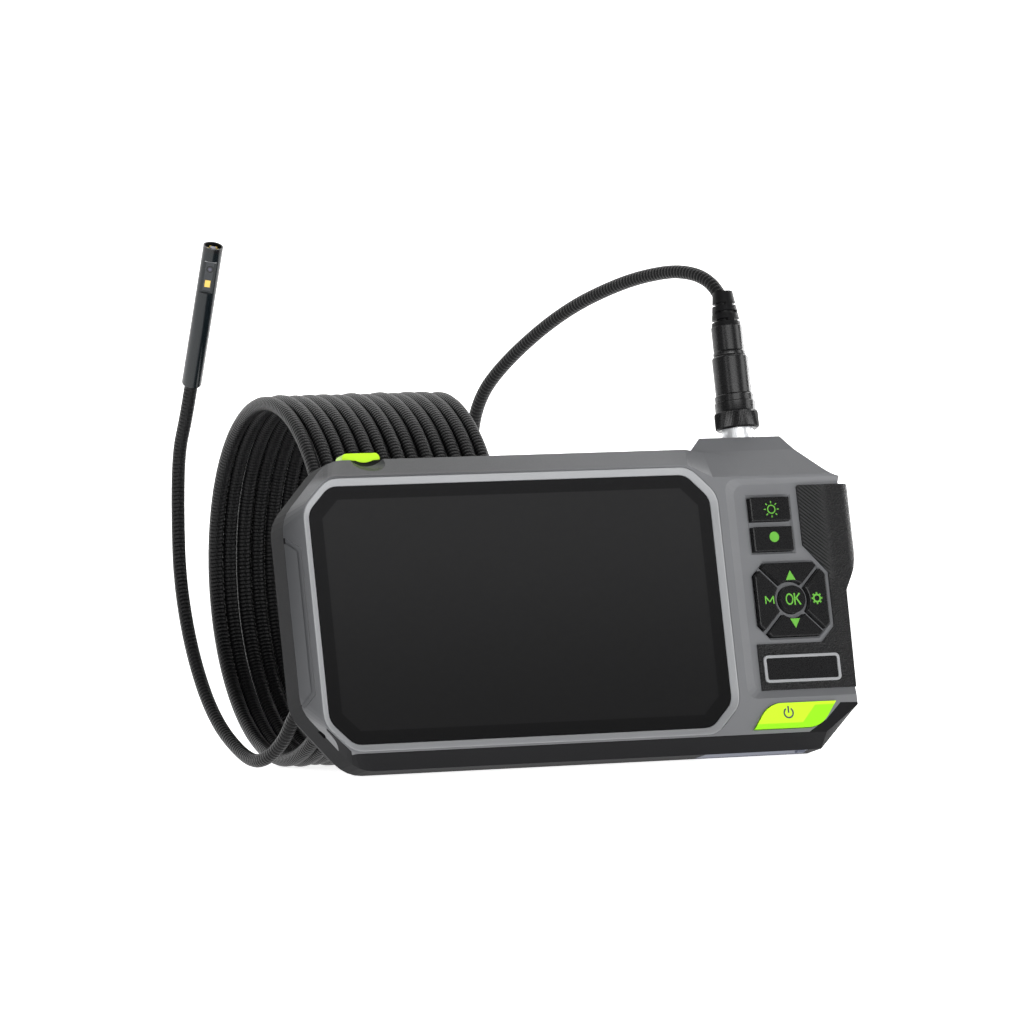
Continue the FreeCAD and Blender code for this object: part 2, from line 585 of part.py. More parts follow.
# a shallow groove round a raised island on the left bevel
GROOVE = [("case_left - 2", "groove_top"), ("case_left + 0.4", "groove_top"),
          ("groove_right", "groove_top - 3.4"),
          ("groove_right", "groove_low + 3.6"), ("case_left + 0.4",
                                                 "groove_low"), ("case_left - 2", "groove_low")]
ISLAND = [("case_left - 2", "groove_top - groove_wide"), ("case_left + 0.3", "groove_top - groove_wide"),
          ("groove_right - 0.82", "groove_top - 4.2"), ("groove_right - 0.82", "groove_low + 4.4"),
          ("case_left + 0.3", "groove_low + groove_wide"), ("case_left - 2", "groove_low + groove_wide")]
groove = cut("groove", plate("groove_outer", "front_face - 1", "belt_front - front_face + 2", GROOVE),
             plate("groove_island", "front_face - 2", "belt_front - front_face + 4", ISLAND),
             case_solid("groove_floor", "groove_deep", "front_face", "case_back"))

thumb_scoop = bind(doc.addObject("Part::Sphere", "thumb_scoop"), Radius="scoop_radius", x="scoop_x",
                   y="scoop_y - (scoop_radius - scoop_deep) * 0.66",
                   z="scoop_z + (scoop_radius - scoop_deep) * 0.75")
bezel_hole = plate("bezel_hole", "front_face - 1", "case_wall + 6", screen_ring("(bezel_wide + 0.06)"))
socket_hole = fuse("socket_hole", rod("socket_way", "Z", "plug_x", "plug_y", "hump_mid_z - 2",
                                        "socket_radius + 0.05", "8"),
                   rod("nut_pocket", "Z", "plug_x", "plug_y", "hump_top - 5.2",
                       "socket_nut_radius + 0.05", "5.2 - case_wall"),
                   rod("socket_seat", "Z", "plug_x", "plug_y", "hump_top - 1.4", "socket_collar + 0.05",
                       "8"))
side_bosses = rods("side_boss", SIDE_BOSSES, "case_wall - 0.2", "boss_radius", "boss_end - case_wall + 0.2")
side_bores = rods("side_bore", SIDE_BOSSES, "boss_end - insert_long", "insert_radius", "insert_long + 1")
front_shell = cut("front_shell_body", fuse("front_with_bosses", front_part, *side_bosses), bezel_hole,
                  console, *key_wells,
                  *key_holes, power_hole, power_pocket, groove, thumb_scoop, socket_hole, *side_bores)
node("front_shell", front_shell)

ALL_BOSSES = BOSSES + SIDE_BOSSES
posts = rods("post", ALL_BOSSES, "boss_end + 0.1", "boss_radius", "case_back - case_wall - boss_end + 0.4")
screw_ways = rods("screw_way", ALL_BOSSES, "boss_end", "screw_radius + 0.15", "case_back - boss_end + 1")
screw_seats = rods("screw_seat", ALL_BOSSES, "screw_seat_y", "screw_head + 0.2",
                   "case_back - screw_seat_y + 1")
door_seat = block("door_seat", "door_left - door_gap", "door_front - door_gap", "case_bottom - 1",
                  "door_right - door_left + 2 * door_gap", "door_back - door_front + 2 * door_gap",
                  "door_recess + 1")
pin_way = rod("pin_way", "X", "door_left - 1", "door_back - door_thick / 2", "case_bottom + door_thick / 2",
              "pin_radius + 0.01",
              "door_right - door_left + 2")
usb_way = block("usb_way", "usb_left - 0.2", "usb_front - 0.2", "case_bottom - 1", "usb_wide + 0.4",
                "usb_thick + 0.4", "5")
card_way = block("card_way", "card_left - 0.2", "card_front + 0.1", "case_bottom - 1", "card_wide + 0.4",
                 "card_thick - 0.2", "5")
rear_shell = cut("rear_shell_body", fuse("rear_with_posts", rear_part, *posts), top_key_hole, thumb_scoop,
                 bezel_hole, power_hole, power_pocket, *screw_ways, *screw_seats, door_seat, pin_way,
                 usb_way, card_way)
node("rear_shell", rear_shell)

screws = [fuse(f"screw_{k}", rod(f"screw_shank_{k}", "Y", x, "screw_tip", z, "screw_radius",
                                 "screw_seat_y - screw_tip + 0.1"),
               rod(f"screw_head_{k}", "Y", x, "screw_seat_y", z, "screw_head", "screw_head_thick"))
          for k, (x, z) in enumerate(ALL_BOSSES)]
node("case_screws", group("screw_group", *screws))
inserts = [cut(f"insert_{k}", rod(f"insert_body_{k}", "Y", x, "boss_end - insert_long", z, "insert_radius",
                                  "insert_long"),
               rod(f"insert_hole_{k}", "Y", x, "boss_end - insert_long - 1", z, "screw_radius",
                   "insert_long + 2"))
           for k, (x, z) in enumerate(ALL_BOSSES)]
node("threaded_inserts", group("insert_group", *inserts))

# ---------------------------------------------------------------- rubber grip and label

GRIP = [("grip_left", "console_top - 0.6"), ("grip_right - 1", "console_top - 0.6"), ("grip_right", "29.6"),
        ("grip_right", "13.5"), ("grip_right - 1.8", "7.3"), ("panel_right + 0.8", "1.4"),
        ("panel_right + 0.5", "console_bottom + 0.1"), ("console_left + 1.9", "console_bottom + 0.1"),
        ("console_left + 1.9", "0 - 12.6"), ("pad_x + 7.8", "0 - 12.6"), ("pad_x + 12", "0 - 8.4"),
        ("pad_x + 12", "6.5"), ("grip_left - 0.4", "14.1"), ("grip_left - 0.4", "console_top - 1")]
grip_front = "console_floor - grip_skin"
grip_block = plate("grip_block", grip_front, f"grip_back - {grip_front}", GRIP)


def at_bulge(middle):
    """Whether an edge's middle is on the bulge at the grip's right side, front or back."""
    between = size("console_floor") + 1 < middle.y < size("grip_back") - 1
    return middle.x > size("grip_right") - 2 and not between


grip_round = softened("grip_rounded", grip_block, "grip_round", lambda edge: at_bulge(edge.CenterOfMass)
                      and abs(edge.BoundBox.ZLength) > 10)
grip_hollow = cut("grip_hollow", outer_form, console)
label_hole = plate("label_hole", "front_face - 3", "8",
                   rectangle("label_left", "label_right", "label_bottom", "label_top")("0.1"))
label_block = rounded("label_round_block", label_hole, "label_round")
node("grip_rubber", cut("grip_body", grip_round, grip_hollow, label_block, bezel_hole))

label_shape = rectangle("label_left", "label_right", "label_bottom", "label_top")
label_outer = rounded("label_outer", plate("label_outer_block", "label_face", "console_floor - label_face",
                                           label_shape("0")),
                      "label_round")
label_inner = rounded("label_inner", plate("label_inner_block", "label_face - 1", "3",
                                           label_shape("(0 - label_rim)")),
                      "label_inner_round")
node("label_frame", cut("label_frame_body", label_outer, label_inner))
node("label_plate", rounded("label_plate_body", plate("label_plate_block", "label_face + 0.3",
                                                      "console_floor - label_face - 0.3",
                                                      label_shape("(0 - label_rim - 0.02)")),
                            "label_inner_round"))

# ---------------------------------------------------------------- inside the case

cell = block("cell", "cell_left", "cell_front", "cell_low", "cell_long", "cell_thick", "cell_high")
node("battery", group("battery_body", cell))
board_holes = rods("board_hole", BOSSES, "board_front - 1", "boss_radius + 0.15", "board_thick + 2")
node("main_board", cut("board_body", plate("board", "board_front", "board_thick",
                                           cut_rectangle("58", "33", "5")),
                       *board_holes))
shield = block("shield", "shield_left", "board_front + board_thick", "shield_low",
               "shield_wide", "shield_thick", "shield_high")
node("processor_shield", group("shield_body", shield))
node("port_board", group("port_board_body", block("port_board_block", "door_left + 1.5", "port_board",
                                                  "0 - 38", "31",
                                                  "board_thick", "14")))
node("usb_port", cut("usb_body", block("usb_block", "usb_left", "usb_front", "case_bottom + 1.6",
                                       "usb_wide", "usb_thick", "7.4"),
                     block("usb_mouth", "usb_left + 0.4", "usb_front + 0.4", "case_bottom + 1",
                           "usb_wide - 0.8",
                           "usb_thick - 0.8", "6.8")))
node("card_slot", cut("card_body", block("card_block", "card_left", "card_front", "case_bottom + 2.5",
                                         "card_wide",
                                         "card_thick", "14"),
                      block("card_mouth", "card_left + 0.5", "card_front + 0.5", "case_bottom + 2",
                            "card_wide - 1",
                            "0.9", "13")))
top_board_z = "case_top - case_wall - 0.9 - top_key_travel - 1.6"
node("top_key_switch", fuse("top_switch_body",
                            block("top_board", "top_key_left - 0.8", "top_key_y - 2.6", top_board_z,
                                  "top_key_right - top_key_left + 1.6", "5.2", "0.8"),
                            block("top_switch", "(top_key_left + top_key_right) / 2 - 2", "top_key_y - 1.6",
                                  f"{top_board_z} + 0.8", "4", "3.2", "0.55")))

# ---------------------------------------------------------------- door over the ports

DOOR_MID = ("door_back - door_thick / 2", "case_bottom + door_thick / 2")
door_plate = block("door_plate", "door_left", "door_front", "case_bottom", "door_right - door_left",
                   "door_back - door_front - door_thick / 2", "door_thick")
door_barrel = rod("door_barrel", "X", "door_left", *DOOR_MID, "door_thick / 2", "door_right - door_left")
door_tab = block("door_tab", "door_right - 3.2", "door_front + 0.3", "case_bottom - 0.6", "2.2", "1.8", "1")
door_bore = rod("door_bore", "X", "door_left - 1", *DOOR_MID, "pin_radius + 0.04",
                "door_right - door_left + 2")
node("port_door", cut("door_body", fuse("door_whole", door_plate, door_barrel, door_tab), door_bore))
node("door_pin", group("door_pin_body", rod("door_pin_rod", "X", "door_left - 0.9", *DOOR_MID, "pin_radius",
                                            "door_right - door_left + 1.8")))

# ---------------------------------------------------------------- cable socket and plug

def on_axis(name, *profile):
    """A ring or body turned about the plug's axis."""
    return bind(turned(name, profile), x="plug_x", y="plug_y")


def ring(name, inner, outer, low, top):
    """A plain ring about the plug's axis."""
    return on_axis(name, (inner, low), (outer, low), (outer, top), (inner, top))


def pin_circle(name, low, long, radius):
    """Six rods side by side round the plug's axis."""
    return [rod(f"{name}_{k}", "Z", f"plug_x + 1.9 * cos({60 * k} deg)",
                f"plug_y + 1.9 * sin({60 * k} deg)", low, radius, long)
            for k in range(6)]


node("socket_shell", group("socket_shell_body", on_axis(
    "socket", ("socket_bore", "socket_foot"), ("socket_radius",
                                               "socket_foot"), ("socket_radius", "hump_top - 1.4"),
    ("socket_collar", "hump_top - 1.4"), ("socket_collar", "collar_top"), ("socket_radius", "collar_top"),
    ("socket_radius", "socket_top"), ("socket_bore", "socket_top"))))
node("socket_nut", group("socket_nut_body", ring("socket_nut_ring", "socket_radius", "socket_nut_radius",
                                                 "hump_top - 5",
                                                 "hump_top - case_wall")))
socket_core = rod("socket_core", "Z", "plug_x", "plug_y", "socket_foot + 0.5", "socket_bore - 0.02",
                  "socket_floor - socket_foot - 0.5")
node("socket_insert", cut("socket_insert_body", socket_core,
                          *pin_circle("socket_pin_way", "socket_foot", "10", "0.4")))
node("socket_pins", group("socket_pin_group", *pin_circle("socket_pin", "socket_foot - 2", "14.5", "0.39")))

node("coupling_nut", group("coupling_nut_body", on_axis(
    "nut", ("socket_radius + run_gap", "nut_low"), ("knurl_radius - 0.6",
                                                    "nut_low"), ("knurl_radius", "nut_low + 0.6"),
    ("knurl_radius", "knurl_top"), ("nut_collar", "knurl_top"), ("nut_collar",
                                                                 "nut_mid"), ("nut_neck", "nut_mid"),
    ("nut_neck", "nut_top"), ("stem_neck + run_gap", "nut_top"), ("stem_neck + run_gap",
                                                                  "stem_flange_top + run_gap"),
    ("socket_radius + run_gap", "stem_flange_top + run_gap"))))
node("plug_body", group("plug_shell", on_axis(
    "plug", ("stem_bore", "socket_floor + 0.6"), ("stem_radius",
                                                  "socket_floor + 0.6"), ("stem_radius",
                                                                          "socket_top + 0.3"),
    ("socket_radius - 0.05", "socket_top + 0.3"), ("socket_radius - 0.05",
                                                   "stem_flange_top"), ("stem_neck", "stem_flange_top"),
    ("stem_neck", "nut_top + 0.1"), ("body_radius", "nut_top + 0.1"), ("body_radius", "body_top - 0.5"),
    ("body_radius - 0.5", "body_top"), ("stem_bore", "body_top"))))
plug_core = rod("plug_core", "Z", "plug_x", "plug_y", "socket_floor + 0.9", "stem_bore - 0.02", "11")
node("plug_insert", cut("plug_insert_body", plug_core,
                        *pin_circle("plug_pin_way", "socket_floor", "13", "0.5")))
node("plug_contacts", group("plug_contact_group", *[
    cut(f"plug_contact_{k}", outer, inner) for k, (outer, inner) in enumerate(zip(
        pin_circle("contact", "socket_floor + 1", "12.5",
                   "0.49"), pin_circle("contact_hole", "socket_floor", "7", "0.4")))]))
node("plug_sleeve", group("plug_sleeve_body", on_axis(
    "sleeve", ("cable_radius + run_gap", "body_top + 0.05"), ("sleeve_radius + 0.15", "body_top + 0.05"),
    ("sleeve_radius + 0.15", "body_top + 1"), ("sleeve_radius",
                                               "body_top + 1.3"), ("sleeve_radius", "sleeve_top"),
    ("cable_radius + run_gap", "sleeve_top"))))
relief_cone = on_axis("relief_cone", ("cable_radius + run_gap", "sleeve_top"),
                      ("relief_foot_radius", "sleeve_top"),
                      ("relief_mouth_radius", "relief_top"), ("cable_radius + run_gap", "relief_top"))
relief_slots = []
for k in range(3):
    slot_low = f"sleeve_top + slot_first + slot_pitch * {k}"
    slot_ring = ring(f"slot_ring_{k}", "cable_radius + 0.6", "sleeve_radius + 1", slot_low,
                     f"{slot_low} + slot_high")
    bridge = block(f"slot_bridge_{k}", "plug_x - 6" if k % 2 else "plug_x - 0.9",
                   "plug_y - 0.9" if k % 2 else "plug_y - 6",
                   slot_low, "12" if k % 2 else "1.8", "1.8" if k % 2 else "12", "slot_high")
    relief_slots.append(cut(f"relief_slot_{k}", slot_ring, bridge))
node("strain_relief", cut("relief_body", relief_cone, *relief_slots))

# ---------------------------------------------------------------- cable, in the leaned frame


def tube(name, route, radius):
    """A round tube along straight runs and tangent arcs. Prints the arcs' radii and checks its volume."""
    spots = [Vector(*spot) for spot in route]
    edges, bends, start = [], [], spots[0]
    for before, corner, after in zip(spots, spots[1:], spots[2:]):
        back, ahead = before - corner, after - corner
        run = min(back.Length, ahead.Length)
        turn = math.pi - back.getAngle(ahead)
        entry = corner + back.normalize() * (0.45 * run)
        leave = corner + ahead.normalize() * (0.45 * run)
        bend = 0.45 * run / math.tan(turn / 2)
        inward = (back + ahead).normalize()
        middle = corner + inward * (bend / math.cos(turn / 2) - bend)
        edges += [Part.LineSegment(start, entry).toShape(), Part.Arc(entry, middle, leave).toShape()]
        bends.append(round(bend, 1))
        start = leave
    edges.append(Part.LineSegment(start, spots[-1]).toShape())
    path = Part.Wire(edges)
    section = Part.Wire(Part.Circle(spots[0], spots[1] - spots[0], radius).toShape())
    solid = path.makePipeShell([section], True, False)
    expected = math.pi * radius ** 2 * path.Length
    print(f"{name}: length {path.Length:.1f} mm, radii {bends}, volume ratio {solid.Volume / expected:.3f}")
    thing = doc.addObject("Part::Feature", name + "_tube")
    thing.Shape = solid
    return node(name, thing, SHIFT)


# from inside the strain relief, over the back of the case and down behind the coil's last turn
LEAD_ROUTE = [(77, 28.3, 74.2), (77, 29.35, 80.15), (76.1, 31.6, 84.2), (74.8, 34.9, 87.2),
              (72.7, 40.2, 89.3),
              (69.4, 48.5, 90.1), (63, 64, 87.8), (54.5, 85, 80.6), (46.5, 106.6, 67.7), (42.4, 119, 56.5),
              (43.5, 127, 40.5), (34, 128, 25.5), (19, 120, 20), (7, 110, 28.5), (8, 99.5, 43.5),
              (12, 88, 56.5), (11, 69, 57.6)]
# from the front of the coil's first turn, under it and up behind it to the probe
TAIL_ROUTE = [(-41.3, 33.5, -0.2), (-41.6, 39.3, -16.3), (-44.8, 50.7, -26.4), (-45.8, 57.6, -35),
              (-48, 68.1, -40.7), (-48.4, 80.7, -38.9), (-49.5, 97.6, -29.2), (-49.9, 110.7, -12.1),
              (-50, 118.1, 8.2), (-50, 118, 28.2), (-50.2, 115.3,
                                                    44.9), (-50, 109.4, 54.2), (-50, 103.9, 65.2)]
tube("cable_lead", LEAD_ROUTE, size("cable_radius"))
tube("cable_tail", TAIL_ROUTE, size("cable_radius"))

coil_outer = rod("coil_outer", "X", "0", "0", "0", "coil_radius + cable_radius",
                 "coil_pitch * coil_turns + 2 * cable_radius")
coil_inner = rod("coil_inner", "X", "0 - 1", "0", "0", "coil_radius - cable_radius",
                 "coil_pitch * coil_turns + 9")
coil = cut("coil_body", coil_outer, coil_inner)
coil.Placement = Placement(Vector(size("coil_x"), size("coil_y"),
                                  value("floor_z + coil_radius + cable_radius")),
                           Rotation(AXES["Z"], size("coil_yaw"))).multiply(
                               Placement(Vector(-size("cable_radius") + 0.4, 0, 0), Rotation()))
node("cable_coil", coil, SHIFT)

# ---------------------------------------------------------------- probe, drawn upright on its own base

PROBE = SHIFT.multiply(Placement(Vector(-50, 104.91, 63.16),
                                 Rotation(AXES["X"], size("probe_lean")))).multiply(
    Placement(Vector(), Rotation(AXES["Z"], size("probe_spin"))))


def probe_rod(name, radius, low, high, x="0", y="0"):
    """A rod along the probe between two heights."""
    return rod(name, "Z", x, y, low, radius, f"{high} - ({low})")


window_cut = block("window_cut", "0 - 3", "0 - 4", "window_low", "6", "4 - window_flat",
                   "window_high - window_low")
node("probe_housing", cut("housing_body", probe_rod("housing_tube", "probe_radius", "0",
                                                    "probe_long - 1.2"),
                          probe_rod("housing_bore", "probe_radius - probe_wall", "3.5", "probe_long"),
                          probe_rod("housing_gland", "cable_radius + run_gap", "0 - 1",
                                    "5"), window_cut), PROBE)
node("side_window", group("side_window_body", block("side_glass", "0 - 1.1", "0.02 - window_flat",
                                                    "window_low + 0.2", "2.2",
                                                    "0.3", "window_high - window_low - 0.4")), PROBE)
node("side_board", group("side_board_body", block("side_board_block", "0 - 1.2", "0 - 0.9",
                                                  "window_low - 1", "2.4", "0.4",
                                                  "probe_long - window_low - 2.5")), PROBE)
node("side_lens", group("side_lens_body", rod("side_lens_rod", "Y", "0", "0.34 - window_flat",
                                              "window_high - 2.4", "0.6", "0.86")),
     PROBE)
node("side_light", group("side_light_body", block("side_led", "0 - 0.55", "0.5 - window_flat",
                                                  "window_low + 1.5", "1.1", "0.7",
                                                  "1.3")), PROBE)
node("probe_front_ring", cut("front_ring_body", probe_rod("front_ring", "probe_radius", "probe_long - 1.15",
                                                          "probe_long"),
                             probe_rod("front_ring_hole", "front_radius", "probe_long - 2",
                                       "probe_long + 1")), PROBE)
node("front_board", cut("front_board_body", probe_rod("front_disc", "front_radius - 0.02",
                                                      "probe_long - 1.7",
                                                      "probe_long - 1.2"),
                        probe_rod("front_disc_hole", "front_lens_radius + 0.02", "probe_long - 3",
                                  "probe_long")), PROBE)
node("front_lens", group("front_lens_body", probe_rod("front_lens_rod", "front_lens_radius",
                                                      "probe_long - 3.4",
                                                      "probe_long - 0.5")), PROBE)
node("front_lights", group("front_light_group", *[
    probe_rod(f"front_light_{k}", "0.36", "probe_long - 1.15", "probe_long - 0.8",
              f"1.5 * cos({60 * k} deg)",
              f"1.5 * sin({60 * k} deg)") for k in range(6)]), PROBE)
node("camera_module", group("camera_body", block("camera_block", "0 - 1.2", "0 - 0.45", "probe_long - 5.4",
                                                 "2.4", "1.9", "1.9")),
     PROBE)

# ---------------------------------------------------------------- checks and export

doc.recompute()
for thing in doc.Objects:
    if {"Invalid", "Error"} & set(thing.State):
        raise RuntimeError(f"{thing.Name} did not compute: {thing.State}")
os.makedirs("parts", exist_ok=True)
for name, thing in NODES.items():
    if thing.Shape.isNull() or not thing.Shape.isValid():
        raise RuntimeError(f"{name} has no valid shape")
    thing.Shape.exportStep(os.path.join("parts", name + ".step"))
print(len(NODES), "nodes written")
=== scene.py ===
import math

import bmesh
import bpy
from mathutils import Matrix, Vector


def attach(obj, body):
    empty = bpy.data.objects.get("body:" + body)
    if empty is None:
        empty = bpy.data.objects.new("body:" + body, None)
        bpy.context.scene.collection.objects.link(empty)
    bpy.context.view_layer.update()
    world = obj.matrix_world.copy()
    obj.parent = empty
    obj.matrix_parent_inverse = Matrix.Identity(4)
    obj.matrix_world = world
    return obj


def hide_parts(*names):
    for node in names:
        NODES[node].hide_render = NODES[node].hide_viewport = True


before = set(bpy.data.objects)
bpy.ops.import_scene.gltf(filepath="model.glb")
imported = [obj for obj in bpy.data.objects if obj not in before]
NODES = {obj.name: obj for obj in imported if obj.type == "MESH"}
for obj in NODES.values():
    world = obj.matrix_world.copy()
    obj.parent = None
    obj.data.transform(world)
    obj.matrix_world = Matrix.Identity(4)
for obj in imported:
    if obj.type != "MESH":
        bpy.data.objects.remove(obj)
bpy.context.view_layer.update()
MM = 0.001

# ---------------------------------------------------------------- frames of the handset and the cable

ORIGIN = Vector((19.1, 12.4, -42.704)) * MM  # the model's origin in the leaned frame
LEAN = Matrix.Rotation(math.radians(-10), 4, "X")
HANDSET = Matrix.Translation(-ORIGIN) @ LEAN  # handset axes: X right, Y into the case, Z up the screen
CABLE = Matrix.Translation(-ORIGIN)
PROBE_FOOT = Vector((-50, 104.91, 63.16)) * MM  # where the cable ends in the probe
PROBE_LEAN = Matrix.Rotation(math.radians(26.95), 4, "X")
PROBE_SPIN = Matrix.Rotation(math.radians(-25), 4, "Z")
# probe axes: Z along it from the cable, -Y out of its window
PROBE = CABLE @ Matrix.Translation(PROBE_FOOT) @ PROBE_LEAN @ PROBE_SPIN


def link(obj):
    bpy.context.scene.collection.objects.link(obj)
    return obj


# ---------------------------------------------------------------- camera and lights

camera = link(bpy.data.objects.new("camera", bpy.data.cameras.new("camera")))
camera.data.lens = 263.67
camera.data.sensor_width = 36
camera.data.clip_end = 20
RIGHT = Vector((0.9084, -0.4168, -0.032))
UP = Vector((0.0318, -0.0074, 0.9995))
BACK = Vector((-0.4168, -0.909, 0.0065))
CAMERA_PLACE = CABLE @ (Vector((-832.6, -1811.0, 38.6)) * MM)
camera.matrix_world = Matrix.Translation(CAMERA_PLACE) @ Matrix((RIGHT, UP, BACK)).transposed().to_4x4()
bpy.context.scene.camera = camera


def area_light(name, place, target, wide, high, watts, colour=(1, 1, 1)):
    """A soft rectangular lamp at place, in metres, that faces target."""
    data = bpy.data.lights.new(name, "AREA")
    data.shape = "RECTANGLE"
    data.size, data.size_y, data.energy, data.color = wide, high, watts, colour
    lamp = link(bpy.data.objects.new(name, data))
    lamp.location = place
    lamp.rotation_euler = (Vector(target) - Vector(place)).to_track_quat("-Z", "Y").to_euler()
    return lamp


area_light("front_panel", (-0.35, -2.0, 0.35), (0, 0, 0.05), 1.6, 0.9, 26)
area_light("left_strip", (-1.3, -0.95, 0.35), (0, 0, 0.08), 0.25, 1.0, 2)
area_light("right_front_panel", (1.4, -0.75, 0.3), (0.04, 0, 0.08), 0.8, 1.1, 9)
area_light("right_panel", (0.8, 0.3, 0.35), (0.03, 0.03, 0.06), 0.25, 0.6, 4)
area_light("top_panel", (0.2, 0.3, 0.9), (0.05, 0.03, 0.1), 0.5, 0.4, 2)

world = bpy.data.worlds.new("studio")
world.use_nodes = True
world.node_tree.nodes["Background"].inputs["Color"].default_value = (1, 1, 1, 1)
world.node_tree.nodes["Background"].inputs["Strength"].default_value = 0.1
bpy.context.scene.world = world
bpy.context.scene.view_settings.view_transform = "Standard"

# ---------------------------------------------------------------- materials


class Shader:
    """A principled material and short ways to add nodes to it."""

    def __init__(self, name, colour=(0.5, 0.5, 0.5), roughness=0.5, metallic=0.0, **inputs):
        self.material = bpy.data.materials.new(name)
        self.material.use_nodes = True
        self.tree = self.material.node_tree
        self.surface = self.tree.nodes["Principled BSDF"]
        self.surface.inputs["Base Color"].default_value = (*colour, 1)
        self.surface.inputs["Roughness"].default_value = roughness
        self.surface.inputs["Metallic"].default_value = metallic
        for key, value in inputs.items():
            self.surface.inputs[key.replace("_", " ").title().replace("Ior", "IOR")].default_value = value

    def node(self, kind, **inputs):
        node = self.tree.nodes.new(kind)
        for key, value in inputs.items():
            self.feed(node.inputs[key.replace("_", " ").title()], value)
        return node

    def feed(self, socket, value):
        if isinstance(value, bpy.types.NodeSocket):
            self.tree.links.new(value, socket)
        else:
            socket.default_value = value

    def math(self, operation, first, second=0.0, third=None):
        node = self.tree.nodes.new("ShaderNodeMath")
        node.operation = operation
        self.feed(node.inputs[0], first)
        self.feed(node.inputs[1], second)
        if third is not None:
            self.feed(node.inputs[2], third)
        return node.outputs[0]

    def handset_point(self, scale=1000.0):
        """The shaded point in the handset's own axes, in millimetres for a scale of 1000."""
        mapping = self.tree.nodes.new("ShaderNodeMapping")
        back = HANDSET.inverted()
        mapping.inputs["Location"].default_value = back.to_translation() * scale
        mapping.inputs["Rotation"].default_value = back.to_euler()
        mapping.inputs["Scale"].default_value = (scale, scale, scale)
        self.feed(mapping.inputs["Vector"], self.tree.nodes.new("ShaderNodeTexCoord").outputs["Object"])
        return mapping.outputs[0]

    def split(self, vector):
        node = self.tree.nodes.new("ShaderNodeSeparateXYZ")
        self.feed(node.inputs[0], vector)
        return node.outputs

    def noise(self, vector, scale, detail=3.0):
        return self.node("ShaderNodeTexNoise", vector=vector, scale=scale, detail=detail).outputs[0]

    def cells(self, vector, scale):
        node = self.node("ShaderNodeTexVoronoi", vector=vector, scale=scale)
        return node.outputs["Distance"]

    def ramp(self, value, low, high, out_low=0.0, out_high=1.0):
        node = self.tree.nodes.new("ShaderNodeMapRange")
        node.interpolation_type = "SMOOTHSTEP"
        for socket, number in zip(node.inputs, (value, low, high, out_low, out_high)):
            self.feed(socket, number)
        return node.outputs[0]

    def mix(self, amount, first, second):
        """A colour between two."""
        node = self.tree.nodes.new("ShaderNodeMix")
        node.data_type = "RGBA"
        self.feed(node.inputs["Factor"], amount)
        for socket, colour in ((node.inputs[6], first), (node.inputs[7], second)):
            self.feed(socket, (*colour, 1) if isinstance(colour, tuple) else colour)
        return node.outputs[2]

    def bump(self, height, depth_mm, strength=1.0):
        node = self.node("ShaderNodeBump", height=height, distance=depth_mm * MM, strength=strength)
        self.tree.links.new(node.outputs[0], self.surface.inputs["Normal"])

    def colour(self, socket):
        self.tree.links.new(socket, self.surface.inputs["Base Color"])

    def roughness(self, socket):
        self.tree.links.new(socket, self.surface.inputs["Roughness"])


def shell_material():
    """Painted grey of the front shell, with painted shade that darkens it towards the left along its top and
    left bevels.
    """
    shader = Shader("shell_grey", (0.15, 0.153, 0.16), 0.42, specular_ior_level=0.3)
    point = shader.handset_point()
    x, _, z = shader.split(point)
    # painted shade: the top bevel grows darker towards the left and the left facet darker, standing in for
    # light that falls off there
    high = shader.math("MULTIPLY", shader.ramp(z, 35.0, 38.0), shader.ramp(x, 60.0, -40.0))
    left = shader.math("MULTIPLY", shader.ramp(x, -56.0, -66.0), shader.ramp(z, -40.0, 30.0, 0.65, 1.0))
    painted_shade = shader.math("MAXIMUM", high, left)
    tint = shader.mix(shader.noise(point, 0.05, 2.0), (0.143, 0.146, 0.153), (0.158, 0.161, 0.168))
    shader.colour(shader.mix(painted_shade, tint, (0.04, 0.041, 0.044)))
    grain = shader.noise(point, 2.8, 2.0)
    shader.roughness(shader.ramp(grain, 0.3, 0.7, 0.37, 0.47))
    shader.bump(grain, 0.01)
    return shader.material


def moulded(name, colour, roughness, grain_mm=0.3, depth_mm=0.004, spread=0.1, metallic=0.0, **inputs):
    """Moulded or painted plastic: fine grain, slight drift of colour and gloss."""
    shader = Shader(name, colour, roughness, metallic, **inputs)
    point = shader.handset_point()
    grain = shader.noise(point, 1 / grain_mm, 2.0)
    drift = shader.noise(point, 0.05, 2.0)
    darker, lighter = (tuple(c * (1 + side * spread) for c in colour) for side in (-1, 1))
    shader.colour(shader.mix(drift, darker, lighter))
    shader.roughness(shader.ramp(grain, 0.3, 0.7, roughness - 0.02, roughness + 0.02))
    shader.bump(grain, depth_mm)
    return shader.material


def cable_material():
    """A black braided sleeve over a wound core: rounded ribs across it and fine strands along it."""
    shader = Shader("braided_cable", (0.006, 0.006, 0.0065), 0.36, specular_ior_level=0.22)
    along, around, _ = shader.split(shader.tree.nodes.new("ShaderNodeTexCoord").outputs["UV"])
    rib = shader.math("ABSOLUTE", shader.math("SINE", shader.math("MULTIPLY", along, math.pi / 1.1)))
    rib = shader.math("POWER", rib, 0.45)
    turns = shader.math("ADD", shader.math("MULTIPLY", around, 18.0), shader.math("MULTIPLY", along, 0.45))
    strand = shader.math("ABSOLUTE", shader.math("SINE", shader.math("MULTIPLY", turns, math.pi)))
    height = shader.math("ADD", rib, shader.math("MULTIPLY", strand, 0.22))
    shader.bump(height, 0.25)
    # painted shade: the grooves between the ribs are coloured darker and the crests lighter
    shader.colour(shader.mix(shader.ramp(rib, 0.3, 0.9), (0.0012, 0.0012, 0.0012), (0.0045, 0.0045, 0.005)))
    return shader.material


